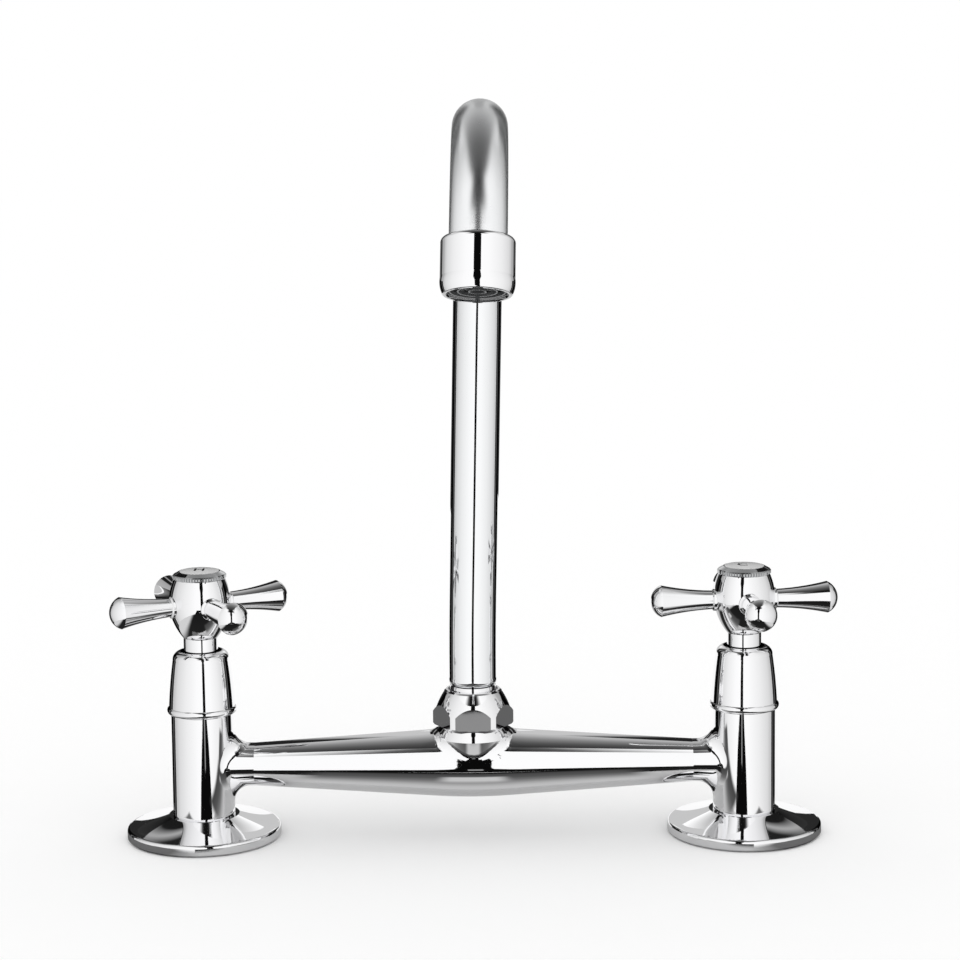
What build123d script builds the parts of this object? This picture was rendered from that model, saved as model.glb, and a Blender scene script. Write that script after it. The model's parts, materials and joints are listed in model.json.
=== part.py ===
from build123d import *
from math import asin, cos, hypot, radians, sin, sqrt, tan
import os

# Bridge kitchen faucet, in millimetres. The origin lies on the deck, midway
# between the two pillars: +X to the right, +Y to the back, +Z up. The hot side
# is on the left, as the user sees it, and the cold side on the right.

# ---------------------------------------------------------------- sizes
pillar_spacing = 203.2        # 8 inch between the two inlets

# clearances
slip = 0.05                   # radial play of parts that screw or slide together
running = 0.06                # radial play of a shaft that turns in its hole
face_gap = 0.1                # axial play between faces that turn on each other

# flange and deck seal, from the deck up
flange_radius = 28.8
flange_rim_height = 4.2       # height of the outer rim
flange_edge_round = 1.2
flange_land_height = 8.6      # height of the land that carries the pillar
flange_land_width = 1.6
flange_dip = 0.4              # how far the top hangs in between rim and land
flange_recess_depth = 2.3     # hollow underside that holds the seal
flange_wall = 2.2             # rim of metal outside the seal
flange_web = 6.0              # plain ring of metal round the tail
flange_web_slope = 2.0
seal_stand = 0.3              # how far the pressed seal holds the flange off
seal_width = 5.5

# threaded tail, washer and backnut below the deck
tail_radius = 10.48           # half of the G1/2 thread's outer diameter
tail_length = 55.0            # below the deck
tail_bore = 6.5
tail_spigot_radius = 8.6
tail_spigot_length = 7.6
tail_chamfer = 1.0
hose_thread_length = 23.0     # free end that the supply hose screws on to
thread_relief_depth = 0.8
thread_relief_width = 1.5
deck_thickness = 16.0
washer_thickness = 3.0
washer_radius = 17.0
backnut_height = 8.0
backnut_across_flats = 27.0

# pillar
pillar_radius = 11.6
pillar_height = 38.7          # from the flange land to the rim under the shroud
pillar_foot_chamfer = 0.5
chamber_radius = 8.6          # bore that the headwork screws into
seat_thickness = 2.0
seat_bore = 4.4

# branch of the pillar and the bridge
bridge_rise = 18.8            # bridge axis above the flange land
branch_radius = 8.0
branch_reach = 19.6           # seam's distance from the pillar axis
branch_fillet = 6.4
spigot_radius = 6.5
spigot_length = 6.8
spigot_groove_depth = 1.0
spigot_groove_width = 1.5
bridge_mid_radius = 12.95
bridge_mid_half = 14.0        # half length of the rounded middle, between two straight cones
bridge_bore = 5.0

# boss in the middle of the bridge
boss_radius = 12.0
boss_waist_rise = 4.1         # where it starts to widen, above the bridge axis
boss_shoulder_radius = 14.25
boss_shoulder_rise = 10.6     # shoulder above the bridge axis
boss_shoulder_bulge = 0.3
boss_rise = 15.0              # nut seat above the bridge axis
boss_seat_radius = 12.5
boss_fillet = 4.5             # round where it meets the bridge
neck_radius = 11.0            # M22 thread that carries the nut
neck_length = 7.6
outlet_bore = 6.0

# spout nut
nut_across_flats = 27.2
nut_height = 13.1
nut_belt_radius = 15.1        # round belt that is left between the flats
nut_belt_height = 4.9
nut_foot_chamfer = 0.5
nut_shoulder_bulge = 0.25
nut_crown_radius = 10.8       # top of the shoulder
nut_crown_round = 0.5
nut_top_radius = 10.1
nut_mouth_radius = 9.4
nut_lip_thickness = 1.5

# spout spigot, which turns in the boss
journal_radius = 8.4
journal_length = 11.2
journal_bore = 5.4
thrust_thickness = 1.2
thrust_radius = 10.4
thrust_washer_thickness = 0.5
collar_radius = 8.6
ring_groove_depth = 1.3
ring_groove_width = 1.9

# spout tube
tube_radius = 9.0
tube_wall = 1.0
tube_neck_radius = 7.5        # end that is rolled in at the nut
tube_neck_height = 3.0
tube_gap = 1.6                # between the nut and the tube's end
spout_height = 274.0          # top of the tube above the deck
spout_lean = 1.42             # how far the leg leans to the right, in degrees
spout_lean_radius = 1200.0    # long bend above the nut that brings the lean
rear_bend_radius = 58.0
rear_bend_angle = 60.0
crown_radius = 160.0          # long flat arc up to the top, which takes the turn to level
front_bend_radius = 45.5
outlet_tilt = 17.5            # outlet axis from the vertical, towards the user
outlet_straight = 3.2         # straight end of the tube

# outlet and aerator, along the outlet axis
nozzle_radius = 10.2
nozzle_wall = 1.2
nozzle_shank_length = 3.0
nozzle_thread_length = 5.2
housing_cap = 1.2             # how far the housing reaches up the tube
housing_radius = 11.5
housing_length = 17.9
housing_top_radius = 10.0
housing_top_round = 2.0
housing_foot_radius = 10.8
housing_foot_length = 5.2
housing_foot_bulge = 0.35
housing_foot_round = 0.5
housing_lip_radius = 9.6
housing_lip_length = 1.0
aerator_washer_thickness = 1.4
screen_thickness = 0.5
core_slot_radii = (3.6, 7.0)
core_slot_width = 0.8
core_cross_width = 1.2
grille_ring_radii = (8.5, 5.95, 2.55)
grille_ring_width = 0.55
grille_thickness = 1.2
grille_frame_width = 0.9
grille_spokes = 6
grille_spoke_width = 0.6
grille_spoke_height = 0.6

# headwork, the ceramic disc cartridge of each side
seat_seal_height = 2.2
seat_seal_width = 1.5
disc_thickness = 3.0
disc_radius = 6.0
port_inner_radius = 1.6
port_outer_radius = 5.0
port_angle = 76.0
sleeve_radius = 7.3
window_radius = 2.6
thread_length = 10.0
headwork_collar_radius = 9.9
headwork_washer_thickness = 0.8
headwork_collar_height = 1.6
headwork_across_flats = 17.0
headwork_hex_height = 6.0
headwork_neck_radius = 7.6
headwork_neck_height = 7.6

# spindle
spindle_radius = 4.0
spindle_flange_thickness = 2.6
spindle_ring_section = 0.98   # thickness of the seal rings
spindle_square = 5.6
tang_width = 2.0
tang_engagement = 1.4
circlip_thickness = 0.9
circlip_radius = 5.9
circlip_groove_depth = 0.55
circlip_gap_angle = 70.0

# shroud, the tapered cover over the headwork
shroud_height = 23.7
shroud_bead_radius = 13.05
shroud_bead_height = 2.8
shroud_waist_radius = 12.35
shroud_bulge = 0.2
shroud_shoulder_radius = 10.65
shroud_shoulder_drop = 3.4    # height of the round shoulder
shroud_rim_width = 0.15
shroud_inner_radius = 10.2
shroud_cavity_height = 11.4
shroud_cavity_slope = 1.5
shroud_lip_width = 0.4

# handle hub
hub_neck_radius = 6.4
hub_neck_height = 5.0         # neck that shows above the shroud
hub_neck_depth = 5.6          # neck that is hidden in the shroud
hub_foot_radius = 6.7
hub_foot_rise = 0.3
hub_lower_bulge = 0.9
hub_radius = 11.7
hub_upper_bulge = 0.5
hub_top_radius = 9.6
hub_height = 22.25
arm_height = 12.4             # arm axis above the hub's lower edge
screw_web = 2.0
screw_seat_wall = 1.2         # between the screw's seat and the studs
cap_socket_radius = 8.0
cap_socket_depth = 6.0

# handle arms
arm_count = 4
arm_reach = 35.35
arm_stud_radius = 2.5
arm_stud_root = 5.2
arm_collar_radius = 4.1
arm_collar_length = 1.9
arm_collar_root = 10.4
arm_collar_round = 0.5
arm_root_radius = 3.5
arm_end_radius = 5.95
arm_end_length = 3.9          # rounded end beyond the widest ring
arm_flare_dip = 0.45          # how far the flare hangs in between its ends
hot_rest_turn = 29.0          # front arm's angle from straight ahead, to the right
cold_rest_turn = 5.0

# handle screw
screw_radius = 2.0
screw_length = 10.0
screw_head_radius = 4.0
screw_head_height = 3.0
screw_socket = 2.5

# index cap: knurled ring and the round plate in its middle
ring_radius = 10.03
ring_band_height = 1.8        # knurled band
ring_cone_height = 1.0        # cone from the band up to the plate
ring_rim_width = 0.3
knurl_count = 60
knurl_depth = 0.45
ring_plug_depth = 4.4
ring_plug_wall = 1.2
plate_radius = 7.35
plate_thickness = 1.3
plate_proud = 0.1
plate_dome = 0.45             # rise of its middle above its rim

# ------------------------------------------------------- heights worked out
flange_land = flange_land_height
pillar_top = flange_land + pillar_height
bridge_axis = flange_land + bridge_rise
seat_low = flange_land + tail_spigot_length + slip
seat_top = seat_low + seat_thickness
nut_seat = bridge_axis + boss_rise
nut_top = nut_seat + nut_height
neck_top = nut_seat + neck_length
disc_low = seat_top + seat_seal_height
disc_split = disc_low + disc_thickness
disc_top = disc_split + disc_thickness + face_gap / 2
collar_low = pillar_top + headwork_washer_thickness
hex_low = collar_low + headwork_collar_height
hex_top = hex_low + headwork_hex_height
headwork_top = hex_top + headwork_neck_height
shroud_top = pillar_top + shroud_height
hub_low = shroud_top + hub_neck_height
hub_top = hub_low + hub_height
arm_axis = hub_low + arm_height
screw_seat = arm_axis - arm_stud_radius - screw_seat_wall
band_top = hub_top + ring_band_height
ring_top = band_top + ring_cone_height
tube_end = nut_top + tube_gap
tube_low = tube_end + tube_neck_height
half_span = pillar_spacing / 2
seam = half_span - branch_reach


# ------------------------------------------------------- small helpers
def disc(radius, low, high):
    """Round bar about Z."""
    return Pos(0, 0, low) * extrude(Circle(radius), high - low)


def pipe(outer, inner, low, high):
    """Round tube about Z."""
    return Pos(0, 0, low) * extrude(Circle(outer) - Circle(inner), high - low)


def hex_bar(across_flats, low, high):
    """Hexagonal bar about Z, with flats to the front and the back."""
    return Pos(0, 0, low) * extrude(RegularPolygon(across_flats / 2, 6, major_radius=False), high - low)


def turned(*lines):
    """Solid of revolution about Z, from lines that close a (radius, height) outline."""
    edges = [edge for line in lines for edge in line.edges()]
    return revolve(Plane.XZ * make_face(edges), Axis.Z)


def bowed(start, end, bow):
    """Arc between two outline points. Its middle stands out by bow, to the right of the way from start to end."""
    across, up = end[0] - start[0], end[1] - start[1]
    length = hypot(across, up)
    middle = ((start[0] + end[0]) / 2 + bow * up / length, (start[1] + end[1]) / 2 - bow * across / length)
    return ThreePointArc(start, middle, end)


def rounded(start, end):
    """Quarter round between two outline points, to the right of the way from start to end."""
    return bowed(start, end, (sqrt(2) - 1) / 2 * hypot(end[0] - start[0], end[1] - start[1]))


def dome(radius, low, rise):
    """Arc of a ball from a rim at a height up to its pole on the axis."""
    ball = (radius ** 2 + rise ** 2) / (2 * rise)
    turn = asin(radius / ball) / 2
    return ThreePointArc((radius, low), (ball * sin(turn), low + rise - ball * (1 - cos(turn))), (0, low + rise))


def seal_ring(inner, outer, height):
    """O-ring about Z that fills the annulus between two radii, with its middle at a height."""
    section = (outer - inner) / 2
    return Pos(0, 0, height) * Torus((inner + outer) / 2, section)


def groove(outer, inner, low, high):
    """Ring of metal that a turned groove takes away."""
    return pipe(outer + 1, inner, low, high)


def sector(radius, angle, middle):
    """Pie slice centred on an angle, with its point at the origin."""
    half = radians(angle / 2)
    turn = radians(middle)
    ends = [(radius * cos(turn + side * half), radius * sin(turn + side * half)) for side in (-1, 1)]
    rim = (radius * cos(turn), radius * sin(turn))
    return make_face(Polyline(ends[1], (0, 0), ends[0]).edges() + ThreePointArc(ends[0], rim, ends[1]).edges())


# ------------------------------------------------------- bridge
def bridge_body():
    """Hollow double cone between the pillars, with the boss that carries the spout."""
    top = boss_rise + neck_length
    spindle = bridge_spindle()
    boss = turned(
        Polyline((0, boss_rise), (0, 0), (boss_radius, 0), (boss_radius, boss_waist_rise),
                 (boss_shoulder_radius, boss_shoulder_rise)),
        bowed((boss_shoulder_radius, boss_shoulder_rise), (boss_seat_radius, boss_rise), boss_shoulder_bulge),
        Line((boss_seat_radius, boss_rise), (0, boss_rise)),
    )
    body = spindle + boss
    body = fillet(new_edges(spindle, boss, combined=body), boss_fillet)
    body += disc(neck_radius, boss_rise - 1, top)
    tip = seam + spigot_length
    groove_low = seam + (spigot_length - spigot_groove_width) / 2
    spigot = disc(spigot_radius, seam - 1, tip) - groove(
        spigot_radius, spigot_radius - spigot_groove_depth, groove_low, groove_low + spigot_groove_width)
    for side in (-1, 1):
        body += Rot(0, 90 * side, 0) * spigot
    body -= Rot(0, 90, 0) * disc(bridge_bore, -tip - 1, tip + 1)
    body -= disc(outlet_bore, 0, top + 1)
    body -= disc(journal_radius + running, top - journal_length - face_gap, top + 1)
    return Pos(0, 0, bridge_axis) * body


def bridge_spindle():
    """Two straight cones with a round middle, which starts where the cones touch it without a corner."""
    fall = (bridge_mid_radius - branch_radius) * bridge_mid_half / 2 / (seam - bridge_mid_half / 2)
    left, right = [(side * bridge_mid_half, bridge_mid_radius - fall) for side in (-1, 1)]
    face = make_face(
        Polyline(right, (seam, branch_radius), (seam, 0), (-seam, 0), (-seam, branch_radius), left).edges()
        + ThreePointArc(left, (0, bridge_mid_radius), right).edges())
    return revolve(Plane.XY * face, Axis.X)


def bridge_rings():
    """The two seal rings on the bridge's spigots."""
    middle = seam + spigot_length / 2
    ring = seal_ring(spigot_radius - spigot_groove_depth + 0.01, spigot_radius + slip - 0.01, middle)
    return [Pos(0, 0, bridge_axis) * Rot(0, 90 * side, 0) * ring for side in (-1, 1)]


# ------------------------------------------------------- pillar and what is under it
def pillar(side):
    """Pillar casting with its branch towards the bridge. side is -1 left, 1 right."""
    along = Pos(0, 0, bridge_axis) * Rot(0, 90, 0)
    column = disc(pillar_radius, flange_land, pillar_top)
    column = chamfer(column.edges().group_by(Axis.Z)[0], pillar_foot_chamfer)
    branch = along * disc(branch_radius, 0, branch_reach)
    body = column + branch
    body = fillet(new_edges(column, branch, combined=body), branch_fillet)
    body -= disc(tail_spigot_radius + slip, flange_land - 1, seat_low)
    body -= disc(seat_bore, flange_land, pillar_top)
    body -= disc(chamber_radius, seat_top, pillar_top + 1)
    body -= along * disc(bridge_bore, 0, branch_reach + 1)
    body -= along * disc(spigot_radius + slip, branch_reach - spigot_length - slip, branch_reach + 1)
    return Rot(0, 0, 90 + 90 * side) * body


def flange():
    """Round base plate with a low rim and a shallow cone up to the pillar."""
    low = seal_stand
    rim = flange_rim_height + seal_stand
    roof = low + flange_recess_depth
    land = (pillar_radius + flange_land_width, flange_land)
    hole = tail_radius + slip
    inside = flange_radius - flange_wall
    web = inside - seal_width - flange_web
    side = (flange_radius, rim - flange_edge_round)
    top = (flange_radius - flange_edge_round, rim)
    return turned(
        Polyline((hole, low), (web, low), (web + flange_web_slope, roof), (inside, roof), (inside, low),
                 (flange_radius - flange_edge_round / 2, low), (flange_radius, low + flange_edge_round / 2), side),
        rounded(side, top),
        bowed(top, land, -flange_dip),
        Polyline(land, (hole, flange_land), (hole, low)),
    )


def base_seal():
    """Rubber ring in the flange's hollow underside, which rests on the deck."""
    inside = flange_radius - flange_wall - slip
    return pipe(inside, inside - seal_width, 0, seal_stand + flange_recess_depth)


def tail():
    """Threaded tail that passes through the deck, with a spigot screwed into the pillar."""
    top = flange_land + tail_spigot_length
    body = disc(tail_radius, -tail_length, flange_land) + disc(tail_spigot_radius, flange_land - 1, top)
    body = chamfer(body.edges().group_by(Axis.Z)[0], tail_chamfer)
    relief = hose_thread_length - tail_length
    body -= groove(tail_radius, tail_radius - thread_relief_depth, relief, relief + thread_relief_width)
    return body - disc(tail_bore, -tail_length - 1, top + 1)


def deck_washer():
    """Rubber washer under the deck."""
    return pipe(washer_radius, tail_radius + slip, -deck_thickness - washer_thickness, -deck_thickness)


def backnut():
    """Hexagonal nut that pulls the tail down against the deck."""
    top = -deck_thickness - washer_thickness
    body = hex_bar(backnut_across_flats, top - backnut_height, top)
    return body - disc(tail_radius + slip, top - backnut_height - 1, top + 1)


# ------------------------------------------------------- headwork
def headwork():
    """Brass cartridge body: sleeve with water windows, thread, collar, hexagon and neck."""
    sleeve_low = disc_low - 0.4
    body = disc(sleeve_radius, sleeve_low, pillar_top)
    body += disc(chamber_radius - slip, pillar_top - thread_length, collar_low)
    body += disc(headwork_collar_radius, collar_low, hex_low)
    body += hex_bar(headwork_across_flats, hex_low, hex_top)
    body += disc(headwork_neck_radius, hex_top, headwork_top)
    cavity = disc_radius + slip
    cavity_top = pillar_top - thread_length + spindle_flange_thickness
    body -= disc(cavity, sleeve_low - 1, cavity_top)
    body -= disc(spindle_radius + running, cavity_top - 1, headwork_top + 1)
    window_height = (disc_top + pillar_top - thread_length) / 2
    for turn in (45, 135):
        body -= Pos(0, 0, window_height) * Rot(0, 90, turn) * disc(window_radius, -chamber_radius, chamber_radius)
    return body


def headwork_washer():
    """Fibre washer between the headwork's collar and the pillar's rim."""
    return pipe(headwork_collar_radius, chamber_radius + slip, pillar_top, collar_low)


def seat_seal():
    """Rubber ring that seals the lower disc on the pillar's seat."""
    return pipe(disc_radius, disc_radius - seat_seal_width, seat_top, disc_low)


def ceramic_disc(low, high, first_port):
    """Ceramic disc with two ports opposite each other."""
    body = disc(disc_radius, low, high)
    for turn in (0, 180):
        port = sector(port_outer_radius, port_angle, first_port + turn) - Circle(port_inner_radius)
        body -= Pos(0, 0, low - 1) * extrude(port, high - low + 2)
    return body


def fixed_disc():
    """Lower disc, which stays still."""
    return ceramic_disc(disc_low, disc_split, 0)


def tang_slots(low, high, width, reach):
    """The two driving tongues of the spindle, or with more width their slots."""
    bars = [Pos(side * (port_inner_radius + reach) / 2, 0, (low + high) / 2)
            * Box(reach - port_inner_radius, width, high - low) for side in (-1, 1)]
    return bars[0] + bars[1]


def turning_disc():
    """Upper disc, turned by the spindle. Its ports are closed at rest."""
    low = disc_split + face_gap / 2
    body = ceramic_disc(low, disc_top, 90)
    return body - tang_slots(disc_top - tang_engagement - face_gap, disc_top + 1,
                             tang_width + 2 * slip, disc_radius + 1)


def spindle():
    """Brass spindle: tongues, thrust flange, round shaft with ring grooves, square end."""
    flange_low = pillar_top - thread_length
    flange_high = flange_low + spindle_flange_thickness - face_gap
    top = screw_seat - screw_web
    square_low = headwork_top + circlip_thickness + 0.6
    body = disc(disc_radius, flange_low, flange_high)
    body += tang_slots(disc_top - tang_engagement, flange_low, tang_width, disc_radius - 0.4)
    body += disc(spindle_radius, flange_low, square_low)
    body += Pos(0, 0, square_low) * extrude(Rectangle(spindle_square, spindle_square), top - square_low)
    for height in spindle_ring_heights():
        body -= groove(spindle_radius, spindle_radius - spindle_ring_section,
                       height - spindle_ring_section / 2 - slip, height + spindle_ring_section / 2 + slip)
    body -= groove(spindle_radius, spindle_radius - circlip_groove_depth,
                   headwork_top + face_gap, headwork_top + face_gap + circlip_thickness + slip)
    body -= disc(screw_radius + slip, top - screw_length, top + 1)
    return body


def spindle_ring_heights():
    """Heights of the two seal rings on the spindle."""
    return (hex_low, hex_top)


def spindle_rings():
    """The two seal rings on the spindle."""
    inner = spindle_radius - spindle_ring_section + 0.01
    return [seal_ring(inner, inner + spindle_ring_section, height) for height in spindle_ring_heights()]


def circlip():
    """Open spring ring that keeps the spindle in the headwork."""
    low = headwork_top + face_gap
    ring = pipe(circlip_radius, spindle_radius - circlip_groove_depth + 0.02, low + slip / 2,
                low + slip / 2 + circlip_thickness)
    return ring - Pos(0, 0, low - 1) * extrude(sector(circlip_radius + 1, circlip_gap_angle, 0), circlip_thickness + 2)


def shroud():
    """Tapered cover over the headwork, with a bead round its foot and a round shoulder."""
    foot = (pillar_radius + shroud_lip_width, pillar_top)
    bead = (shroud_bead_radius, pillar_top + shroud_bead_height / 2)
    waist = (shroud_waist_radius, pillar_top + shroud_bead_height)
    shoulder = (shroud_shoulder_radius, shroud_top - shroud_shoulder_drop)
    opening = headwork_neck_radius + slip
    rim = (opening + shroud_rim_width, shroud_top)
    ceiling = pillar_top + shroud_cavity_height
    return turned(
        Line((shroud_inner_radius, pillar_top), foot),
        ThreePointArc(foot, bead, waist),
        bowed(waist, shoulder, shroud_bulge),
        rounded(shoulder, rim),
        Polyline(rim, (opening, shroud_top), (opening, ceiling + shroud_cavity_slope), (shroud_inner_radius, ceiling),
                 (shroud_inner_radius, pillar_top)),
    )


# ------------------------------------------------------- handle
def arm_turns(rest_turn):
    """Directions of the arms, in degrees about Z from +X."""
    return [rest_turn - 90 + k * 360 / arm_count for k in range(arm_count)]


def along_arm(turn):
    """Place of a solid turned about Z so that it lies along an arm."""
    return Pos(0, 0, arm_axis) * Rot(0, 0, turn) * Rot(0, 90, 0)


def hub(rest_turn):
    """Turned hub with seats for the arms, a square socket and the cap's socket."""
    web_low = screw_seat - screw_web
    neck_low = shroud_top - hub_neck_depth
    foot = (hub_foot_radius, hub_low + hub_foot_rise)
    belly = (hub_radius, arm_axis)
    rim = (hub_top_radius, hub_top)
    body = turned(
        Polyline((0, neck_low), (hub_neck_radius, neck_low), (hub_neck_radius, hub_low), foot),
        bowed(foot, belly, hub_lower_bulge),
        bowed(belly, rim, hub_upper_bulge),
        Polyline(rim, (0, hub_top), (0, neck_low)),
    )
    socket = spindle_square + 2 * slip
    body -= Pos(0, 0, neck_low - 1) * extrude(Rectangle(socket, socket), web_low - neck_low + 1)
    body -= disc(screw_radius + 0.2, web_low - 1, screw_seat + 1)
    body -= disc(screw_head_radius + 0.4, screw_seat, hub_top)
    body -= disc(cap_socket_radius, hub_top - cap_socket_depth, hub_top + 1)
    for turn in arm_turns(rest_turn):
        body -= along_arm(turn) * disc(arm_stud_radius + slip, arm_stud_root - 0.2, hub_radius)
        body -= along_arm(turn) * disc(arm_collar_radius + slip, arm_collar_root, hub_radius + 2)
    return body


def arms(rest_turn):
    """Four flared arms, each with a stud that screws into the hub."""
    neck = arm_collar_root + arm_collar_length
    root = (arm_root_radius, neck)
    widest = (arm_end_radius, arm_reach - arm_end_length)
    arm = turned(
        Polyline((0, arm_stud_root), (arm_stud_radius, arm_stud_root), (arm_stud_radius, arm_collar_root),
                 (arm_collar_radius, arm_collar_root), (arm_collar_radius, neck - arm_collar_round), root),
        bowed(root, widest, -arm_flare_dip),
        dome(*widest, arm_end_length),
        Line((0, arm_reach), (0, arm_stud_root)),
    )
    return [along_arm(turn) * arm for turn in arm_turns(rest_turn)]


def handle_screw():
    """Socket screw that holds the hub on the spindle."""
    head_top = screw_seat + screw_head_height
    body = disc(screw_head_radius, screw_seat, head_top)
    body += disc(screw_radius, screw_seat - screw_web - screw_length + 1, screw_seat + 1)
    return body - hex_bar(screw_socket, screw_seat + 1, head_top + 1)


def index_ring():
    """Ring on top of the hub: a knurled band, a cone up to the plate, and a plug that pushes into the hub."""
    step = 360 / knurl_count
    root_radius = ring_radius - knurl_depth
    outside = ring_radius + 1
    points = []
    for k in range(knurl_count):
        for share, radius in ((-0.25, ring_radius), (0.25, ring_radius), (0.5, root_radius)):
            turn = radians((k + share) * step)
            points.append((radius * cos(turn), radius * sin(turn)))
    toothed = Pos(0, 0, hub_top) * extrude(make_face(Polyline(*points, points[0]).edges()), ring_top - hub_top)
    seat = plate_radius + slip
    body = toothed & turned(Polyline(
        (0, hub_top), (root_radius, hub_top), (outside, hub_top + outside - root_radius),
        (outside, band_top - outside + root_radius), (root_radius, band_top), (seat + ring_rim_width, ring_top),
        (0, ring_top), (0, hub_top)))
    body += disc(cap_socket_radius - slip, hub_top - ring_plug_depth, hub_top + 0.5)
    body -= disc(cap_socket_radius - ring_plug_wall, hub_top - ring_plug_depth - 1, ring_top + 1)
    return body - disc(seat, ring_top - plate_thickness, ring_top + 1)


def index_plate():
    """Round plate in the middle of the cap, slightly domed."""
    low = ring_top - plate_thickness
    rim = ring_top + plate_proud
    return turned(
        Polyline((0, low), (plate_radius, low), (plate_radius, rim)),
        dome(plate_radius, rim, plate_dome),
        Line((0, rim + plate_dome), (0, low)),
    )


# ------------------------------------------------------- spout
upright_side = Plane(origin=(0, 0, 0), x_dir=(0, -1, 0), z_dir=(-1, 0, 0))


def lean_height():
    """Height at which the leaning leg's line crosses the swivel axis."""
    return tube_low + spout_lean_radius * tan(radians(spout_lean / 2))


def spout_side():
    """Plane of the spout's bends: local X runs to the front and local Y up the leaning leg."""
    cross = Pos(0, 0, lean_height())
    return Plane(cross * Rot(0, spout_lean, 0) * cross.inverse() * upright_side.location)


def spout_line():
    """Centre line of the spout above the lean, in the plane of its bends, as edges end to end."""
    apex = spout_height - tube_radius
    crown_angle = 90 - rear_bend_angle
    front_angle = 90 - outlet_tilt
    leg_low = 2 * lean_height() - tube_low
    leg_top = (apex - rear_bend_radius * sin(radians(rear_bend_angle))
               - crown_radius * (1 - cos(radians(crown_angle))))
    leg = Line((0, leg_low), (0, leg_top))
    rear = JernArc(start=leg @ 1, tangent=leg % 1, radius=rear_bend_radius, arc_size=-rear_bend_angle)
    crown = JernArc(start=rear @ 1, tangent=rear % 1, radius=crown_radius, arc_size=-crown_angle)
    front = JernArc(start=crown @ 1, tangent=crown % 1, radius=front_bend_radius, arc_size=-front_angle)
    tip = Line(front @ 1, front @ 1 + (front % 1) * outlet_straight)
    return [leg, rear, crown, front, tip]


def outlet_place():
    """Plane at the tube's open end, with its normal along the flow."""
    tip = spout_line()[-1]
    return Plane(spout_side().location * Plane(origin=tip @ 1, x_dir=(0, 0, -1), z_dir=tip % 1).location)


def spout_tube():
    """Bent tube with its lower end rolled in."""
    lean = Plane.XZ * JernArc(start=(0, tube_low), tangent=(0, 1), radius=spout_lean_radius, arc_size=-spout_lean)
    line = Wire([edge for part in [lean] + [spout_side() * part for part in spout_line()] for edge in part.edges()])
    wall = Plane(origin=(0, 0, tube_low)) * (Circle(tube_radius) - Circle(tube_radius - tube_wall))
    body = sweep(wall, path=line)
    end = (tube_neck_radius, tube_end)
    start = (tube_radius, tube_low)
    inner = tube_neck_radius - tube_wall
    rolled = turned(
        rounded(end, start),
        Polyline(start, (tube_radius - tube_wall, tube_low), (inner, tube_end + tube_wall), (inner, tube_end), end),
    )
    return body + rolled


def spout_spigot():
    """Turned brass end that swivels in the boss and carries the tube."""
    low = neck_top - journal_length
    thrust_low = neck_top + face_gap
    thrust_high = thrust_low + thrust_thickness
    tube_inside = tube_neck_radius - tube_wall - slip
    body = disc(journal_radius, low, thrust_low) + disc(thrust_radius, thrust_low, thrust_high)
    body += disc(collar_radius, thrust_high, tube_end)
    body += disc(tube_inside, tube_end, tube_low)
    body -= disc(journal_bore, low - 1, tube_low + 1)
    for height in spout_ring_heights():
        body -= groove(journal_radius, journal_radius - ring_groove_depth,
                       height - ring_groove_width / 2, height + ring_groove_width / 2)
    return body


def spout_ring_heights():
    """Heights of the two seal rings on the spout's journal."""
    low = neck_top - journal_length
    return (low + journal_length * 0.3, low + journal_length * 0.65)


def spout_rings():
    """The two seal rings of the swivel."""
    inner = journal_radius - ring_groove_depth + 0.01
    outer = journal_radius + running - 0.02
    return [seal_ring(inner, outer, height) for height in spout_ring_heights()]


def thrust_washer():
    """Nylon washer between the spigot's thrust flange and the nut's lip."""
    low = neck_top + face_gap + thrust_thickness
    return pipe(thrust_radius, collar_radius + 0.02, low, low + thrust_washer_thickness)


def spout_nut():
    """Nut that holds the spout down: a turned body with six flats and a long shoulder above them."""
    belt = (nut_belt_radius, nut_seat + nut_belt_height)
    crown = (nut_crown_radius, nut_top - nut_crown_round)
    outside = turned(
        Polyline((0, nut_seat), (nut_belt_radius - nut_foot_chamfer, nut_seat),
                 (nut_belt_radius, nut_seat + nut_foot_chamfer), belt),
        bowed(belt, crown, nut_shoulder_bulge),
        Polyline(crown, (nut_top_radius, nut_top), (0, nut_top), (0, nut_seat)),
    )
    body = hex_bar(nut_across_flats, nut_seat, nut_top) & outside
    lip_low = neck_top + face_gap + thrust_thickness + thrust_washer_thickness + face_gap
    lip_high = lip_low + nut_lip_thickness
    body -= disc(neck_radius + slip, nut_seat - 1, lip_low)
    body -= disc(collar_radius + running, nut_seat, nut_top + 1)
    body -= turned(Polyline((0, lip_high), (collar_radius + running, lip_high), (nut_mouth_radius, nut_top),
                            (nut_mouth_radius, nut_top + 1), (0, nut_top + 1), (0, lip_high)))
    return body


# ------------------------------------------------------- aerator
def nozzle():
    """Brass end brazed into the tube, with the thread that carries the aerator."""
    inside = tube_radius - tube_wall - slip
    low = slip
    body = disc(nozzle_radius, low, nozzle_thread_length)
    body += disc(inside, -nozzle_shank_length, low)
    return body - disc(inside - nozzle_wall, -nozzle_shank_length - 1, nozzle_thread_length + 1)


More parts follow.
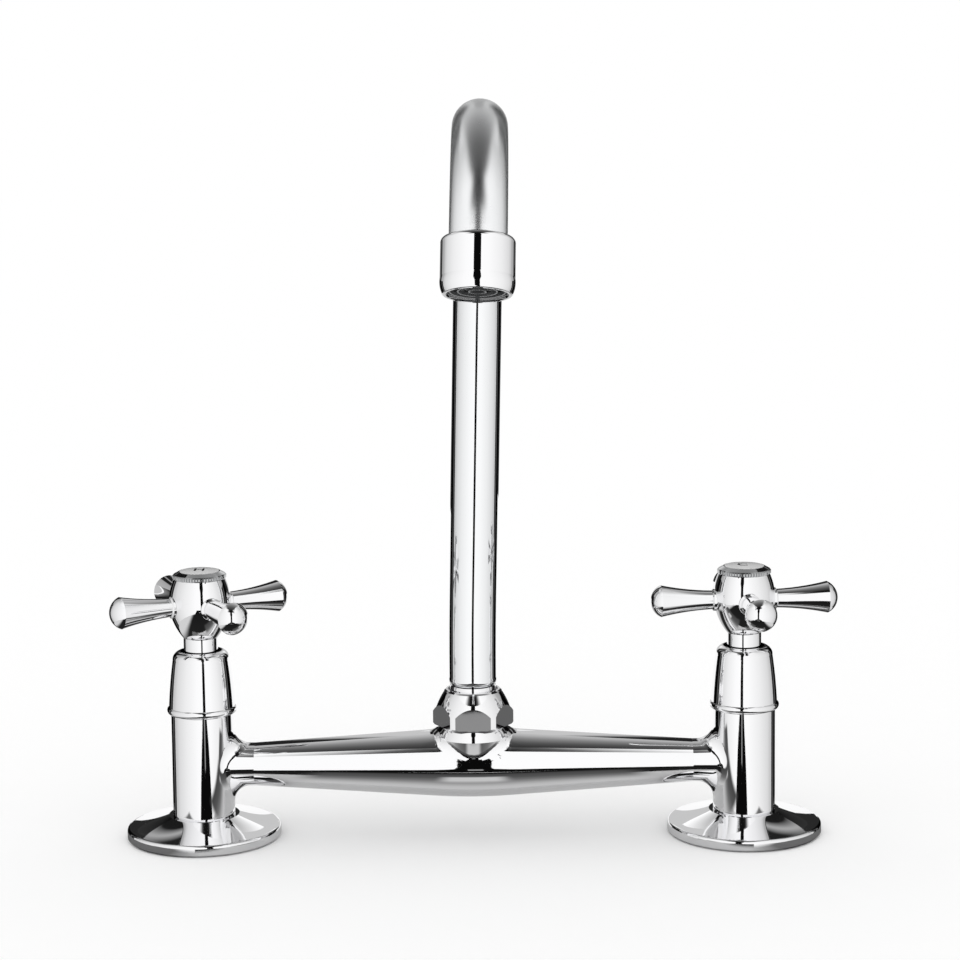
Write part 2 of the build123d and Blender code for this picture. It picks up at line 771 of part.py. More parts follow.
def aerator_housing():
    """Round housing screwed over the nozzle, drawn in at both ends. Its foot is the far end of the flow."""
    low = -housing_cap
    high = housing_length - housing_cap
    hole = tube_radius + slip
    inner = nozzle_radius + slip
    lip_low = high - housing_lip_length
    top = (housing_top_radius, low)
    shoulder = (housing_radius, low + housing_top_round)
    waist = (housing_radius, high - housing_foot_length)
    foot = (housing_foot_radius, high - housing_foot_round)
    edge = (housing_foot_radius - housing_foot_round, high)
    return turned(
        Polyline((inner, slip / 2), (hole, slip / 2), (hole, low), top),
        rounded(top, shoulder),
        Line(shoulder, waist),
        bowed(waist, foot, housing_foot_bulge),
        rounded(foot, edge),
        Polyline(edge, (housing_lip_radius, high), (housing_lip_radius, lip_low), (inner, lip_low), (inner, slip / 2)),
    )


def aerator_stack():
    """Depths along the outlet axis: washer top, core top, grille top and grille foot."""
    washer = nozzle_thread_length + slip
    core = washer + aerator_washer_thickness
    foot = housing_length - housing_cap - housing_lip_length
    return washer, core, foot - grille_thickness, foot


def aerator_washer():
    """Rubber washer between the nozzle and the aerator's core."""
    washer, core, _, _ = aerator_stack()
    return pipe(nozzle_radius, nozzle_radius - 3.0, washer, core)


def aerator_screen():
    """Fine steel screen at the inlet of the core."""
    _, core, _, _ = aerator_stack()
    return disc(nozzle_radius, core, core + screen_thickness)


def aerator_core():
    """Dark plastic core that mixes air into the water: rings of slots held by a cross."""
    _, core, grille, _ = aerator_stack()
    low = core + screen_thickness
    body = disc(nozzle_radius, low, grille)
    for radius in core_slot_radii:
        body -= pipe(radius + core_slot_width, radius, low - 1, grille + 1)
    for turn in (0, 90):
        body += Pos(0, 0, (low + grille) / 2) * Rot(0, 0, turn) * Box(2 * core_slot_radii[-1] + 2, core_cross_width, grille - low)
    return body


def aerator_grille():
    """Grille of thin rings on spokes at the mouth of the aerator."""
    _, _, grille, foot = aerator_stack()
    half = grille_ring_width / 2
    body = pipe(nozzle_radius, nozzle_radius - grille_frame_width, grille, foot)
    for radius in grille_ring_radii:
        body += pipe(radius + half, radius - half, grille, foot)
    inner = min(grille_ring_radii)
    reach = nozzle_radius - grille_frame_width / 2 - inner
    spoke = Pos(inner + reach / 2, 0, grille + grille_spoke_height / 2) * Box(reach, grille_spoke_width, grille_spoke_height)
    for k in range(grille_spokes):
        body += Rot(0, 0, k * 360 / grille_spokes) * spoke
    return body


# ------------------------------------------------------- assembly
def assembly():
    """Every node of the faucet, as a name and its solids in the part's frame."""
    nodes = {
        "bridge_body": bridge_body(),
        "bridge_orings": bridge_rings(),
        "spout_nut": spout_nut(),
        "spout_spigot": spout_spigot(),
        "spout_orings": spout_rings(),
        "spout_thrust_washer": thrust_washer(),
        "spout_tube": spout_tube(),
    }
    outlet = outlet_place()
    for name, make in (("outlet_nozzle", nozzle), ("aerator_housing", aerator_housing),
                       ("aerator_washer", aerator_washer), ("aerator_screen", aerator_screen),
                       ("aerator_core", aerator_core), ("aerator_grille", aerator_grille)):
        nodes[name] = outlet * make()
    for name, side, rest_turn in (("hot", -1, hot_rest_turn), ("cold", 1, cold_rest_turn)):
        place = Pos(side * half_span, 0, 0)
        pieces = {
            "pillar": pillar(side), "flange": flange(), "base_seal": base_seal(), "tail": tail(),
            "deck_washer": deck_washer(), "backnut": backnut(), "headwork": headwork(),
            "headwork_washer": headwork_washer(), "seat_seal": seat_seal(), "fixed_disc": fixed_disc(),
            "turning_disc": turning_disc(), "spindle": spindle(), "spindle_orings": spindle_rings(),
            "circlip": circlip(), "shroud": shroud(), "hub": hub(rest_turn), "arms": arms(rest_turn),
            "handle_screw": handle_screw(), "index_ring": index_ring(), "index_plate": index_plate(),
        }
        for piece, shape in pieces.items():
            nodes[f"{name}_{piece}"] = [place * one for one in shape] if isinstance(shape, list) else place * shape
    return nodes


def write_parts():
    """Writes one STEP file for each node."""
    os.makedirs("parts", exist_ok=True)
    for name, shape in assembly().items():
        solids = shape if isinstance(shape, list) else [shape]
        solids = [solid for one in solids for solid in one.solids()]
        node = solids[0] if len(solids) == 1 else Compound(children=solids)
        node.label = name
        export_step(node, f"parts/{name}.step")
        print(name, len(solids))


write_parts()
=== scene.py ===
# %% [markdown]
# # A chrome bridge faucet in a white studio
#
# Everything here is polished chromium plate, and a mirror has no looks of its
# own: it shows the room. So this lesson spends as much care on what stands
# around the faucet as on the faucet's finishes. The shapes come from the CAD
# frame, already in metres and in place.

# %% An empty file, then the frame
import json
import math

import bpy
import numpy as np
from mathutils import Matrix

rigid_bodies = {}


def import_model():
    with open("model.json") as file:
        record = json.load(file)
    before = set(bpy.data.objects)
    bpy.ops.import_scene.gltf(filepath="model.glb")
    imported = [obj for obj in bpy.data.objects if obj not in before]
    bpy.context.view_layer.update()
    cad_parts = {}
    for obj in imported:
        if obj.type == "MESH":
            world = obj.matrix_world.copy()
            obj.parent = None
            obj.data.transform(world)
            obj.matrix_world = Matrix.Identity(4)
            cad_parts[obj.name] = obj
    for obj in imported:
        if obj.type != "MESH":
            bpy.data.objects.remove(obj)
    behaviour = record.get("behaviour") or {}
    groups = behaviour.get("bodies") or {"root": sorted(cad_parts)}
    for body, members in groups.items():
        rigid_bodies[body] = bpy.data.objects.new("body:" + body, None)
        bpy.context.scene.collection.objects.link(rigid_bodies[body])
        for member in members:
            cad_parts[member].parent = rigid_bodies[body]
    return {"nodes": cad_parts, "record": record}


for leftover in list(bpy.data.objects):
    bpy.data.objects.remove(leftover)

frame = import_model()
bpy.context.view_layer.update()
parts = frame["nodes"]

# %% [markdown]
# ## Small tools
#
# Colours are written as sRGB hex, because that is how we read them off a
# screen, and shaders want linear light, so one function converts. A second
# one adds a shader node with its settings and links in a single line.
# A third turns a grid of points into a mesh, and the last one gives a colour
# that changes along a measured value.


# %% Colour, shader node, surface and ramp helpers
MM = 0.001


def linear(hex_colour):
    """sRGB hex to linear RGBA: c / 12.92 up to 0.04045, above it ((c + 0.055) / 1.055) to the power 2.4."""
    channels = [int(hex_colour[i:i + 2], 16) / 255 for i in (1, 3, 5)]
    return [c / 12.92 if c <= 0.04045 else ((c + 0.055) / 1.055) ** 2.4 for c in channels] + [1.0]


def add_node(tree, kind, inputs=None, **settings):
    """Adds a node. settings are its properties.

    inputs maps a socket to a value or to the socket that feeds it."""
    made = tree.nodes.new(kind)
    for name, value in settings.items():
        setattr(made, name, value)
    for socket, value in (inputs or {}).items():
        if isinstance(value, bpy.types.NodeSocket):
            tree.links.new(value, made.inputs[socket])
        else:
            made.inputs[socket].default_value = value
    return made


def surface(name, points):
    """Object from a grid of points (rows, columns, 3), in metres, one quad per cell."""
    rows, columns = points.shape[:2]
    index = np.arange(rows * columns).reshape(rows, columns)
    corners = [index[:-1, :-1], index[:-1, 1:], index[1:, 1:], index[1:, :-1]]
    quads = np.stack(corners, axis=-1).reshape(-1, 4)
    mesh = bpy.data.meshes.new(name)
    mesh.from_pydata(points.reshape(-1, 3).tolist(), [], quads.tolist())
    mesh.shade_smooth()
    made = bpy.data.objects.new(name, mesh)
    bpy.context.scene.collection.objects.link(made)
    return made


def ramp_colour(tree, value, stops, length=1.0):
    """Colour that follows (place, hex) stops along a value that runs from 0 to length."""
    share = add_node(tree, "ShaderNodeMath", {0: value, 1: length}, operation="DIVIDE").outputs[0]
    ramp = add_node(tree, "ShaderNodeValToRGB", {0: share})
    elements = ramp.color_ramp.elements
    elements.remove(elements[-1])
    elements[0].position, elements[0].color = stops[0][0] / length, linear(stops[0][1])
    for place, colour in stops[1:]:
        elements.new(place / length).color = linear(colour)
    return ramp.outputs["Color"]


# %% [markdown]
# ## The camera
#
# The photograph was taken with a long lens from a little above the handles.
# The two pillars stand upright in it, which a camera that only tilts down
# can't do, so part of the framing is lens shift. The numbers below put the
# flanges, the caps and the arm tips where the photograph has them.

# %% Camera
IMAGE = 960
eye = np.array([0.00485, -0.88344, 0.26508])
yaw, pitch, roll = -0.0011, 0.0991, -0.0100
focal_pixels = 2401.0
axis_row = 364.8  # image row of the optical axis

forward = np.array([math.sin(yaw) * math.cos(pitch), math.cos(yaw) * math.cos(pitch), -math.sin(pitch)])
level = np.array([math.cos(yaw), -math.sin(yaw), 0.0])
upright = np.cross(level, forward)
camera_x = level * math.cos(roll) + upright * math.sin(roll)
camera_y = upright * math.cos(roll) - level * math.sin(roll)

lens = bpy.data.cameras.new("camera")
lens.sensor_width = 36.0
lens.lens = focal_pixels * lens.sensor_width / IMAGE
lens.shift_y = (axis_row - IMAGE / 2) / IMAGE
lens.clip_start, lens.clip_end = 0.01, 100.0
camera = bpy.data.objects.new("camera", lens)
bpy.context.scene.collection.objects.link(camera)
turn = np.eye(4)
turn[:3, 0], turn[:3, 1], turn[:3, 2], turn[:3, 3] = camera_x, camera_y, -forward, eye
camera.matrix_world = Matrix(turn.tolist())
bpy.context.scene.camera = camera
print("lens %.1f mm, shift %.3f" % (lens.lens, lens.shift_y))

# %% [markdown]
# ## What the mirror sees
#
# Chrome in a plain white room looks like grey plastic. A photographer hangs
# white and black cards round it: the white ones fill the metal with light,
# the black ones draw its edges. Here they are curved sheets round the faucet
# that only reflections can see. The camera, the shadows and the soft light
# on the other materials don't meet them.


# %% A card and its form
CARD_RADIUS = 420 * MM
CARD_GLOW = 1.06


def card(name, points, colour):
    """A glowing sheet for reflections only. colour(tree, axes) adds the nodes of its grey."""
    made = surface(name, points)
    finish = bpy.data.materials.new(name + "_paper")
    finish.use_nodes = True
    tree = finish.node_tree
    tree.nodes.clear()
    place = add_node(tree, "ShaderNodeTexCoord").outputs["Object"]
    grey = colour(tree, add_node(tree, "ShaderNodeSeparateXYZ", {0: place}).outputs)
    glow = add_node(tree, "ShaderNodeEmission", {"Color": grey, "Strength": CARD_GLOW})
    add_node(tree, "ShaderNodeOutputMaterial", {"Surface": glow.outputs[0]})
    made.data.materials.append(finish)
    made.visible_camera = made.visible_shadow = made.visible_diffuse = False


def wall(first, last, low, high, columns=48, rows=8, outset=0.0):
    """Upright sheet on a cylinder, a degrees from the front: x = R sin a, y = -R cos a, z from low to high.

    first may be a list of (height, half gap) stops: the inner edge then keeps that distance
    from the middle."""
    height = np.linspace(low, high, rows)
    reach = CARD_RADIUS + outset
    if isinstance(first, list):
        gap = np.interp(height, [z for z, _ in first], [w for _, w in first])
        first = np.sign(last) * np.degrees(np.arcsin(gap / reach))
    start = np.broadcast_to(np.atleast_1d(first), height.shape)[:, None]
    a = np.radians(start + (last - start) * np.linspace(0, 1, columns))
    z = np.broadcast_to(height[:, None], a.shape)
    return np.stack([reach * np.sin(a), -reach * np.cos(a), z], axis=-1)


# %% Its grey, and pairs of cards
def by_angle(stops):
    """Grey by the angle from the front in degrees, alike on both sides: arctan of |x| over -y."""
    stops = [(math.radians(at), grey) for at, grey in stops]

    def colour(tree, axes):
        across = add_node(tree, "ShaderNodeMath", {0: axes["X"]}, operation="ABSOLUTE").outputs[0]
        ahead = add_node(tree, "ShaderNodeMath", {0: axes["Y"], 1: -1.0}, operation="MULTIPLY").outputs[0]
        angle = add_node(tree, "ShaderNodeMath", {0: across, 1: ahead}, operation="ARCTAN2").outputs[0]
        return ramp_colour(tree, angle, stops, math.pi)
    return colour


def mirrored_pair(name, first, last, low, high, stops, **form):
    """A wall card and its mirror image. first and last are for the right one."""
    for side, word in ((-1, "left"), (1, "right")):
        start = first if isinstance(first, list) else side * first
        card(name % word, wall(start, side * last, low, high, **form), by_angle(stops))


# %% [markdown]
# Two tall white cards stand in front, and they leave a gap between them.
# Black shows through it: this is the dark line down the tube, the aerator's
# housing, the shrouds and the pillars, and the small keyhole on the boss.
# Lower down the gap is wider, and so is the line on the pillars' feet, which
# see that part. A little grey card in the gap answers the nut's front face.

# %% Front cards
LOW, HIGH = -140 * MM, 817 * MM
FRONT_EDGE = 106  # degrees from the front to where the front cards end
gap_in_mm = [(-140, 190), (-111, 160), (-80, 116), (-58, 60), (-44, 40), (0, 34), (240, 36), (300, 56),
             (817, 60)]
gap_shape = [(z * MM, half_gap * MM) for z, half_gap in gap_in_mm]
front_fade = [(0, "#FFFFFF"), (25, "#FCFCFC"), (60, "#EEEEEE"), (90, "#DADADA"), (FRONT_EDGE, "#BEBEBE")]
mirrored_pair("front_card_%s", gap_shape, FRONT_EDGE, LOW, HIGH, front_fade, rows=90)
black, grey = [(0, "#0A0A0A")], [(0, "#8C8C8C")]
card("front_gap", wall(-42, 42, LOW, HIGH, 24, outset=12 * MM), by_angle(black))
card("gap_fill", wall(-1.9, 1.9, -84 * MM, -50 * MM, 4, outset=-5 * MM), by_angle(grey))

# %% [markdown]
# Behind them come dark flags low at the sides, which draw the outer edges of
# the upright pieces. A grey slot in them answers the nut's side faces. Higher
# up and at the back, light and dark stripes take turns and draw the edges of
# the spout. Just inside the tops of the front cards hangs a pair that is dark
# in the middle. It makes the soft stripe down the front of the bend.

# %% Side, back and high cards
BACK_LOW = 200 * MM
flag_fade = [(107, "#868686"), (111, "#3A3A3A"), (114, "#080808"), (117, "#080808"), (117.3, "#606060"),
             (121, "#606060"), (121.3, "#040404"), (140, "#040404"), (147, "#303030")]
mirrored_pair("side_flag_%s", 107, 147, LOW, BACK_LOW, flag_fade)
back_fade = [(FRONT_EDGE, "#B0B0B0"), (124, "#A0A0A0"), (128, "#1A1A1A"), (142, "#1A1A1A"),
             (146, "#A8A8A8"), (150, "#202020"), (163, "#202020"), (167, "#C4C4C4")]
mirrored_pair("back_card_%s", FRONT_EDGE, 173, BACK_LOW, 560 * MM, back_fade)
mirrored_pair("back_card_%s_low", 147, 180, 60 * MM, BACK_LOW, [(163, "#282828"), (167, "#C4C4C4")])
middle_fade = [(0.217, "#FFFFFF"), (0.272, "#E0E0E0"), (0.335, "#C4C4C4"), (0.42, "#A8A8A8"), (0.6, "#969696")]
card("back_card_middle", wall(172.5, 187.5, BACK_LOW, 700 * MM),
     lambda tree, axes: ramp_colour(tree, axes["Z"], middle_fade))
high_fade = [(0, "#101010"), (13, "#181818"), (20, "#5C5C5C"), (28, "#D8D8D8"), (34, "#FFFFFF"),
             (60, "#F4F4F4"), (FRONT_EDGE, "#B8B8B8")]
mirrored_pair("high_card_%s", 0, FRONT_EDGE, 470 * MM, HIGH, high_fade, outset=-5 * MM)

# %% [markdown]
# Two cards lie level. The one overhead is dark in front and light behind and
# draws the upper half of the bridge and the dark backs of the arms. The one
# below the deck is dark towards the camera and light far behind. The hubs and
# the ball ends show it as a dark patch low in front.


# %% Roof and floor cards
def level_card(name, half_width, behind, height, stops, soft_from, soft_to, rim, flare):
    """A level card. Its grey follows stops in y, from the front edge at 0 back to behind.

    From soft_from to soft_to in |x| it fades to the rim grey. That fade lies flare metres
    farther out for each metre behind the front edge."""
    x, y = np.meshgrid(np.linspace(-half_width, half_width, 12), np.linspace(0, behind, 40) - CARD_RADIUS)

    def colour(tree, axes):
        back = add_node(tree, "ShaderNodeMath", {0: axes["Y"], 1: CARD_RADIUS}, operation="ADD").outputs[0]
        across = add_node(tree, "ShaderNodeMath", {0: axes["X"]}, operation="ABSOLUTE").outputs[0]
        shift = add_node(tree, "ShaderNodeMath", {0: back, 1: flare}, operation="MULTIPLY").outputs[0]
        inner = add_node(tree, "ShaderNodeMath", {0: across, 1: shift}, operation="SUBTRACT").outputs[0]
        limits = {"Value": inner, "From Min": soft_from, "From Max": soft_to}
        edge = add_node(tree, "ShaderNodeMapRange", limits, interpolation_type="SMOOTHSTEP").outputs["Result"]
        greys = {0: edge, 6: ramp_colour(tree, back, stops, behind), 7: linear(rim)}
        return add_node(tree, "ShaderNodeMix", greys, data_type="RGBA").outputs[2]

    card(name, np.stack([x, y, np.full_like(x, height)], axis=-1), colour)


roof_fade = [(0.0, "#2C2C2C"), (0.15, "#404040"), (0.24, "#4C4C4C"), (0.33, "#5A5A5A"), (0.41, "#6A6A6A"),
             (0.49, "#787878"), (0.58, "#888888"), (0.67, "#989898"), (0.76, "#A8A8A8"), (0.86, "#B4B4B4"),
             (0.98, "#BBBBBB"), (1.12, "#C0C0C0"), (1.29, "#C6C6C6"), (1.50, "#D0D0D0"), (1.78, "#EBEBEB"),
             (2.1, "#FFFFFF")]
level_card("roof_card", 0.9, 2.32, HIGH, roof_fade, 0.19, 0.34, "#D8D8D8", flare=0.2)
floor_fade = [(0.0, "#161616"), (0.25, "#1E1E1E"), (0.66, "#242424"), (0.72, "#9A9A9A"), (0.78, "#C3C3C3")]
level_card("floor_card", 0.42, 1.0, LOW, floor_fade, 0.20, 0.28, "#D0D0D0", flare=0.1)

# %% [markdown]
# ## Floor and sky
#
# The photograph has a pure white ground. A white sky of strength one and a
# white floor give exactly that, and the floor still darkens where the faucet
# keeps the sky off it.
#
# Reflections meet only the part of the floor that is close to the faucet,
# and there it is painted grey for them alone, darker round and beyond the
# pillars. Farther out they look through it to the cards. In front of the
# bridge the floor answers them with a glowing patch that darkens towards the
# camera: painted shade that only reflections see, and it makes the bridge's
# dark underside. A lighter glowing patch in it, right before the boss, is a
# painted highlight on the boss's lower half.


# %% Patches of floor
def patch(tree, *sides):
    """1 on a patch of the floor and 0 off it, with soft edges: the product of its sides.

    A side is (value, none, full), and it is 0 where value is none and 1 where value is full."""
    inside = 1.0
    for value, none, full in sides:
        limits = {"Value": value, "From Min": min(none, full), "From Max": max(none, full),
                  "To Min": float(none > full), "To Max": float(none < full)}
        side = add_node(tree, "ShaderNodeMapRange", limits, interpolation_type="SMOOTHSTEP").outputs["Result"]
        inside = add_node(tree, "ShaderNodeMath", {0: inside, 1: side}, operation="MULTIPLY").outputs[0]
    return inside


# %% Floor
x, y = np.meshgrid(np.linspace(-8, 8, 9), np.linspace(-8, 8, 9))
deck = surface("deck_floor", np.stack([x, y, np.zeros_like(x)], axis=-1))
deck_paint = bpy.data.materials.new("white_paper_with_painted_reflections")
deck_paint.use_nodes = True
tree = deck_paint.node_tree
tree.nodes.clear()
place = add_node(tree, "ShaderNodeTexCoord").outputs["Object"]
axes = add_node(tree, "ShaderNodeSeparateXYZ", {0: place}).outputs
across = add_node(tree, "ShaderNodeMath", {0: axes["X"]}, operation="ABSOLUTE").outputs[0]
ahead = add_node(tree, "ShaderNodeMath", {0: axes["Y"], 1: -1.0}, operation="MULTIPLY").outputs[0]

# Painted reflection: near the faucet, glossy rays see a grey floor, darker beyond the pillars.
close = patch(tree, (ahead, 0.040, 0.034), (ahead, -0.040, -0.034), (across, 0.142, 0.136))
close_fade = ramp_colour(tree, across, [(0.100, "#CCCCCC"), (0.115, "#707070")], 0.15)
close_grey = add_node(tree, "ShaderNodeBsdfDiffuse", {"Color": close_fade}).outputs[0]

# Painted shade in reflection: a glowing patch before the bridge, darker towards the camera, gives the bridge
# its dark underside.
in_front = patch(tree, (ahead, 0.008, 0.012), (ahead, 0.070, 0.056), (across, 0.076, 0.062))
reflection_shade_stops = [(0.010, "#C6C6C6"), (0.016, "#BEBEBE"), (0.020, "#ACACAC"), (0.025, "#909090"),
              (0.031, "#707070"), (0.040, "#565656"), (0.055, "#484848"), (0.120, "#404040")]
reflection_shade_grey = ramp_colour(tree, ahead, reflection_shade_stops, 0.15)
paper = add_node(tree, "ShaderNodeEmission", {"Color": reflection_shade_grey}).outputs[0]

# Painted highlight in reflection: a lighter glowing patch right before the boss.
before_boss = patch(tree, (across, 0.020, 0.010), (ahead, 0.022, 0.032), (ahead, 0.048, 0.040))
painted_highlight_glow = add_node(tree, "ShaderNodeEmission", {"Color": linear("#C8C8C8")}).outputs[0]

mirrored = add_node(tree, "ShaderNodeBsdfTransparent").outputs[0]
for where, answer in ((close, close_grey), (in_front, paper), (before_boss, painted_highlight_glow)):
    mirrored = add_node(tree, "ShaderNodeMixShader", {0: where, 1: mirrored, 2: answer}).outputs[0]
white = add_node(tree, "ShaderNodeBsdfDiffuse", {"Color": linear("#FFFFFF")}).outputs[0]
glossy = add_node(tree, "ShaderNodeLightPath").outputs["Is Glossy Ray"]
both = add_node(tree, "ShaderNodeMixShader", {0: glossy, 1: white, 2: mirrored}).outputs[0]
add_node(tree, "ShaderNodeOutputMaterial", {"Surface": both})
deck.data.materials.append(deck_paint)
print("floor nodes:", len(tree.nodes))

# %% Sky
sky = bpy.data.worlds.new("white_studio")
bpy.context.scene.world = sky
sky.use_nodes = True
background = sky.node_tree.nodes["Background"]
background.inputs["Color"].default_value = linear("#FFFFFF")
background.inputs["Strength"].default_value = 1.0
bpy.context.scene.view_settings.view_transform = "Standard"

# %% [markdown]
# ## Chromium plate
#
# Chromium over nickel over polished brass: a mirror that is slightly cool
# and never quite flat. The buffing wheel leaves faint waves a few
# millimetres long, and they are what makes the edge of a reflection wander
# on a real tap. The tube is hazier where it was bent, so its front shows
# soft stripes and no sharp ones.


# %% Chrome
def new_finish(name):
    """A material with its tree, its Principled shader and the Object coordinates."""
    made = bpy.data.materials.new(name)
    made.use_nodes = True
    tree = made.node_tree
    return made, tree, tree.nodes["Principled BSDF"], add_node(tree, "ShaderNodeTexCoord").outputs["Object"]


def waves(tree, place, size, height, detail=2.0):
    """Bump from noise: size is the wavelength and height the depth, in metres."""
    noise = add_node(tree, "ShaderNodeTexNoise", {"Vector": place, "Scale": 1 / size, "Detail": detail})
    relief = {"Height": noise.outputs["Fac"], "Distance": height}
    return add_node(tree, "ShaderNodeBump", relief).outputs["Normal"]


HAZE_SIZE = 12 * MM
BEND_START, BEND_FULL = -20 * MM, -70 * MM  # y where the bend's satin haze starts and where it is full


def chrome_plate(name, colour, roughness, wave_size, wave_height, satin=0.0):
    """Polished chromium plate: a metal with a little haze that varies, and buffing waves.

    satin is the haze that comes on top where the tube is bent, from BEND_START to BEND_FULL."""
    made, tree, shader, place = new_finish(name)
    shader.inputs["Metallic"].default_value = 1.0
    shader.inputs["Base Color"].default_value = linear(colour)
    noise = add_node(tree, "ShaderNodeTexNoise", {"Vector": place, "Scale": 1 / HAZE_SIZE, "Detail": 3.0})
    spread = {"Value": noise.outputs["Fac"], "From Min": 0.3, "From Max": 0.7,
              "To Min": roughness * 0.6, "To Max": roughness * 1.4}
    haze = add_node(tree, "ShaderNodeMapRange", spread).outputs["Result"]
    depth = add_node(tree, "ShaderNodeSeparateXYZ", {0: place}).outputs["Y"]
    bend = {"Value": depth, "From Min": BEND_START, "From Max": BEND_FULL, "To Min": 0.0, "To Max": satin}
    bend_haze = add_node(tree, "ShaderNodeMapRange", bend).outputs["Result"]
    haze_sum = add_node(tree, "ShaderNodeMath", {0: haze, 1: bend_haze}, operation="ADD").outputs[0]
    tree.links.new(haze_sum, shader.inputs["Roughness"])
    tree.links.new(waves(tree, place, wave_size, wave_height), shader.inputs["Normal"])
    return made


chrome = chrome_plate("polished_chromium_plate", "#F8F8F9", 0.03, 6 * MM, 0.004 * MM)
chrome_tube = chrome_plate("chromium_plated_bent_tube", "#F6F7F8", 0.04, 9 * MM, 0.004 * MM, satin=0.22)
chrome_knurled = chrome_plate("knurled_chromium_ring", "#BFC0C1", 0.10, 6 * MM, 0.004 * MM)
print("chrome:", [made.name for made in (chrome, chrome_tube, chrome_knurled)])

# %% [markdown]
# ## The other finishes
#
# Little of them shows: rubber under the flanges, the enamelled plates on the
# handles, and the plastic grille in the spout's mouth. The brass, steel and
# ceramic inside are dressed too, for whoever takes the faucet apart. Tool
# marks and moulding grain are finer than the 0.5 to 1 mm drawn here, which is
# as fine as still shows.


# %% Brass, steel, rubber, plastics and ceramic
def plain_finish(name, dark, light, roughness, grain, depth, metal=0.0):
    """A finish whose colour drifts between two hex values over a grain size, with a bump of that grain."""
    made, tree, shader, place = new_finish(name)
    shader.inputs["Metallic"].default_value = metal
    shader.inputs["Roughness"].default_value = roughness
    noise = add_node(tree, "ShaderNodeTexNoise", {"Vector": place, "Scale": 1 / (grain * 4), "Detail": 4.0})
    colour = ramp_colour(tree, noise.outputs["Fac"], [(0.35, dark), (0.65, light)])
    tree.links.new(colour, shader.inputs["Base Color"])
    tree.links.new(waves(tree, place, grain, depth, 4.0), shader.inputs["Normal"])
    return made


finishes = {
    "chrome": chrome,
    "chrome_tube": chrome_tube,
    "chrome_collar": chrome,
    # Fresh from the lathe, brass is a warm yellow that blurs what it reflects.
    "brass": plain_finish("turned_brass", "#B89A5E", "#CDB276", 0.28, 0.6 * MM, 0.004 * MM, metal=1.0),
    # Stainless steel is greyer than chromium, and stamping leaves it satin.
    "steel": plain_finish("stainless_steel", "#B9BABC", "#CFD0D1", 0.3, 0.5 * MM, 0.004 * MM, metal=1.0),
    # The mould gives nitrile rubber a dull, nearly black skin.
    "rubber": plain_finish("moulded_nitrile_rubber", "#121212", "#1D1D1D", 0.62, 0.8 * MM, 0.02 * MM),
    # Nylon is a milky white with a weak sheen.
    "nylon": plain_finish("white_nylon", "#E2E1DC", "#ECEBE6", 0.45, 1.0 * MM, 0.01 * MM),
    # Vulcanised fibre is brick red and dull as card.
    "fibre": plain_finish("vulcanised_fibre", "#7D3326", "#964436", 0.7, 0.6 * MM, 0.03 * MM),
    # Lapping makes alumina smooth enough to shine without a glaze.
    "ceramic": plain_finish("lapped_alumina", "#E6E3DB", "#F0EEE8", 0.15, 0.8 * MM, 0.002 * MM),
    # Moulded acetal has an even, half dull skin, and the grille's is glossier.
    "black_plastic": plain_finish("black_acetal", "#040404", "#090909", 0.5, 0.7 * MM, 0.01 * MM),
    "grille_plastic": plain_finish("grey_acetal", "#4A4B4C", "#5C5D5E", 0.22, 0.7 * MM, 0.006 * MM),
}
print("finishes:", sorted(finishes))

# %% [markdown]
# ## The index plates
#
# Each handle's cap is glossy white enamel that says which water it turns on.
# A plain block letter does that: an H from two posts and a rail, and a C from
# a ring that is cut off at its right.

# %% Lettered enamel
PLATE_X = 101.6 * MM    # the plates lie this far to the left and right of the middle
HALF_HEIGHT = 2.5 * MM  # of the H
POST_PLACE = 1.5 * MM   # from the H's middle to the middle of a post
RING_RADIUS = 2.1 * MM  # from the C's middle to the middle of its stroke
RING_CUT = 1.2 * MM     # from the C's middle to where it is cut off
HALF_STROKE = 0.4 * MM


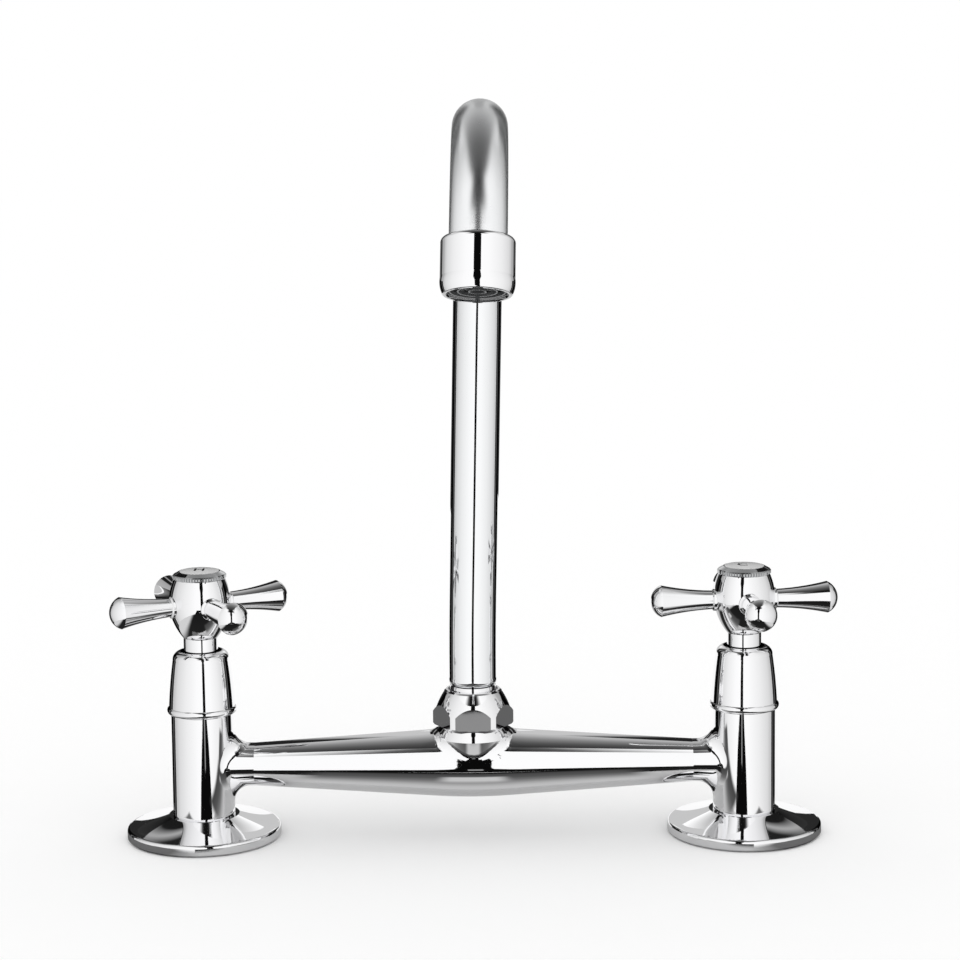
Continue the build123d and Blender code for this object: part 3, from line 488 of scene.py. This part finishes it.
def h_shape(tree, axes):
    """1 inside an H round the origin. Each bar is the middle of its x, then half its width and height."""
    post = (HALF_STROKE, HALF_HEIGHT)
    ink = 0.0
    for x, half_width, half_height in ((-POST_PLACE, *post), (POST_PLACE, *post), (0, POST_PLACE, HALF_STROKE)):
        near_x = {0: axes["X"], 1: x, 2: half_width}
        near_y = {0: axes["Y"], 1: 0, 2: half_height}
        wide = add_node(tree, "ShaderNodeMath", near_x, operation="COMPARE").outputs[0]
        tall = add_node(tree, "ShaderNodeMath", near_y, operation="COMPARE").outputs[0]
        bar = add_node(tree, "ShaderNodeMath", {0: wide, 1: tall}, operation="MINIMUM").outputs[0]
        ink = add_node(tree, "ShaderNodeMath", {0: ink, 1: bar}, operation="MAXIMUM").outputs[0]
    return ink


def c_shape(tree, axes):
    """1 inside a C round the origin: near the ring's radius, and left of the cut."""
    flat = add_node(tree, "ShaderNodeCombineXYZ", {"X": axes["X"], "Y": axes["Y"]}).outputs[0]
    reach = add_node(tree, "ShaderNodeVectorMath", {0: flat}, operation="LENGTH").outputs["Value"]
    near_ring = {0: reach, 1: RING_RADIUS, 2: HALF_STROKE}
    ring = add_node(tree, "ShaderNodeMath", near_ring, operation="COMPARE").outputs[0]
    left = add_node(tree, "ShaderNodeMath", {0: axes["X"], 1: RING_CUT}, operation="LESS_THAN").outputs[0]
    return add_node(tree, "ShaderNodeMath", {0: ring, 1: left}, operation="MINIMUM").outputs[0]


def lettered_plate(name, centre, shape):
    """White enamel with a plain black letter whose middle is at x = centre, y = 0."""
    made, tree, shader, place = new_finish(name)
    moved = add_node(tree, "ShaderNodeVectorMath", {0: place, 1: (centre, 0, 0)}, operation="SUBTRACT")
    axes = add_node(tree, "ShaderNodeSeparateXYZ", {0: moved.outputs[0]}).outputs
    colours = {0: shape(tree, axes), 6: linear("#E4E4E4"), 7: linear("#141414")}
    colour = add_node(tree, "ShaderNodeMix", colours, data_type="RGBA").outputs[2]
    tree.links.new(colour, shader.inputs["Base Color"])
    shader.inputs["Roughness"].default_value = 0.12
    tree.links.new(waves(tree, place, 1.2 * MM, 0.003 * MM, 4.0), shader.inputs["Normal"])
    return made


# %% [markdown]
# ## Dressing
#
# The record names a material slot for each part. Only the knurled rings and
# the index plates have a finish of their own.

# %% A finish for each part
by_node = {
    "hot_index_ring": chrome_knurled,
    "cold_index_ring": chrome_knurled,
    "hot_index_plate": lettered_plate("hot_enamel", -PLATE_X, h_shape),
    "cold_index_plate": lettered_plate("cold_enamel", PLATE_X, c_shape),
}
for row in frame["record"]["subparts"]:
    finish = by_node.get(row["node"]) or finishes[row["material_slot"]]
    for slot in parts[row["node"]].material_slots:
        slot.material = finish
